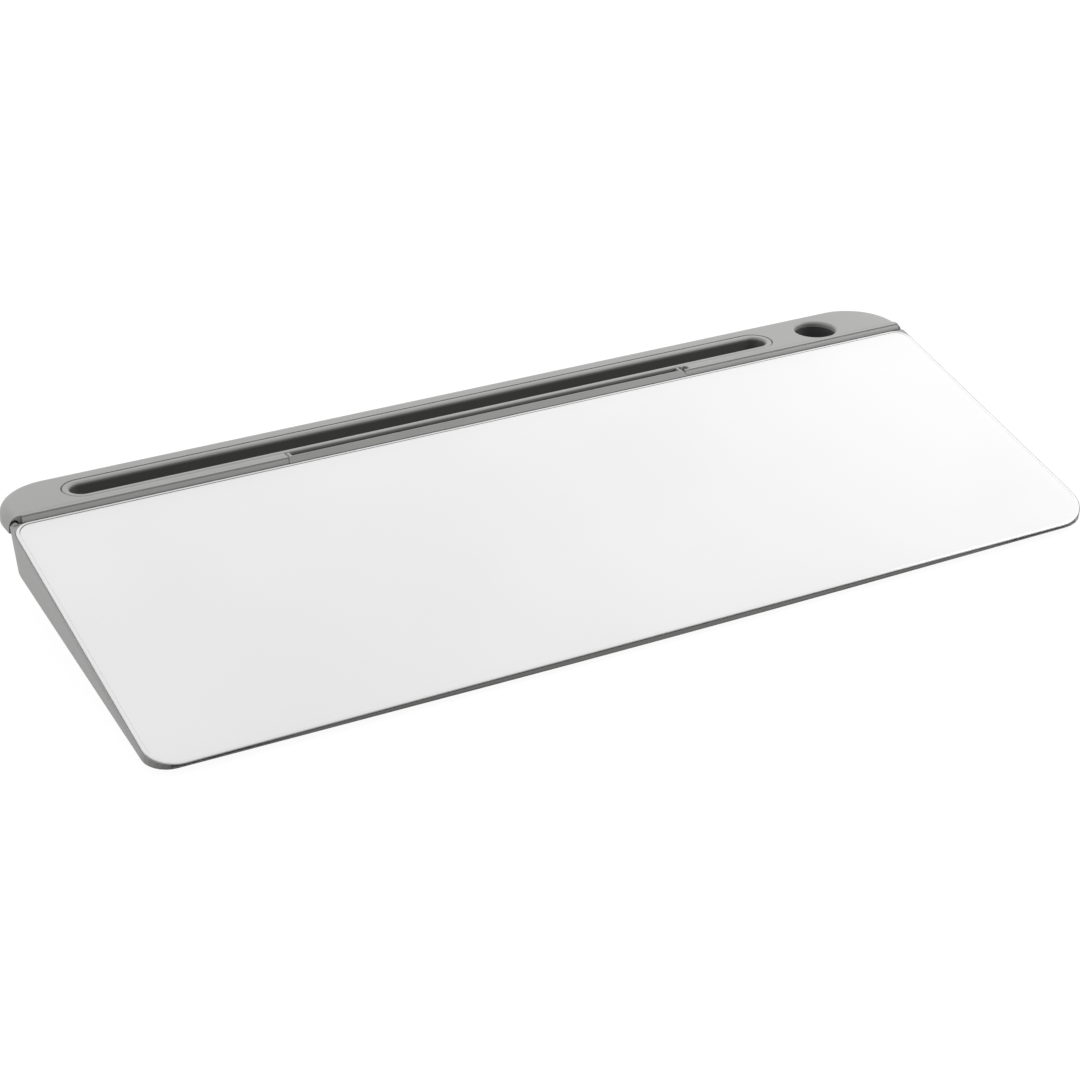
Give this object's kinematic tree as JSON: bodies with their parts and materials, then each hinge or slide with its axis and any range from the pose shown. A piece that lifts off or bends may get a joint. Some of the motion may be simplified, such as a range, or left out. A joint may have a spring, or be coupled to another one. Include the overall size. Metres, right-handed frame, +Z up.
{
  "type": "magnetic desk whiteboard easel",
  "caption": "Low desktop whiteboard wedge with a sloping white steel panel, a grey rear shelf with a lift-out pen tray, a device slot and a pen hole, and folding rear legs",
  "frame": {"origin": "centre of the overall box in plan, at desk level", "axes": "+X to the right along the width of the panel, +Y from the low front edge to the rear shelf, +Z up"},
  "size_m": [0.4584, 0.1861, 0.0477],
  "materials": {
    "shell_grey": "fine satin moulded surface",
    "base_grey": "moulded, slightly rough",
    "panel_white": "smooth glossy dry-erase coating",
    "tape_foam": "soft foam tape",
    "dark_rubber": "matt rubber",
    "plated_steel": "zinc plated"
  },
  "bodies": {
    "base": {"body_shell": "shell_grey", "bottom_plate": "base_grey", "writing_panel": "panel_white", "panel_tape": "tape_foam", "top_cover": "shell_grey", "device_lip": "shell_grey", "pen_cup": "shell_grey", "left_leg_pin": "plated_steel", "right_leg_pin": "plated_steel", "left_leg_spring": "plated_steel", "right_leg_spring": "plated_steel", "front_feet": "dark_rubber", "rear_feet": "dark_rubber", "base_screws": "plated_steel", "cover_screws": "plated_steel", "slot_pad": "dark_rubber", "nose_rails": "shell_grey"},
    "tray": {"pen_tray": "shell_grey", "tray_liner": "dark_rubber"},
    "left_leg_body": {"left_leg": "base_grey", "left_leg_pad": "dark_rubber"},
    "right_leg_body": {"right_leg": "base_grey", "right_leg_pad": "dark_rubber"}
  },
  "joints": [
    {"name": "tray_lift", "type": "slide", "parent": "base", "child": "tray", "axis": [0, 0, 1], "range_m": [0, 0.04]},
    {"name": "left_leg_fold", "type": "hinge", "parent": "base", "child": "left_leg_body", "pos_m": [-0.128, 0.0668, 0.0188], "axis": [1, 0, 0], "range_deg": [-89, 0]},
    {"name": "right_leg_fold", "type": "hinge", "parent": "base", "child": "right_leg_body", "pos_m": [0.128, 0.0668, 0.0188], "axis": [1, 0, 0], "range_deg": [-89, 0]}
  ]
}
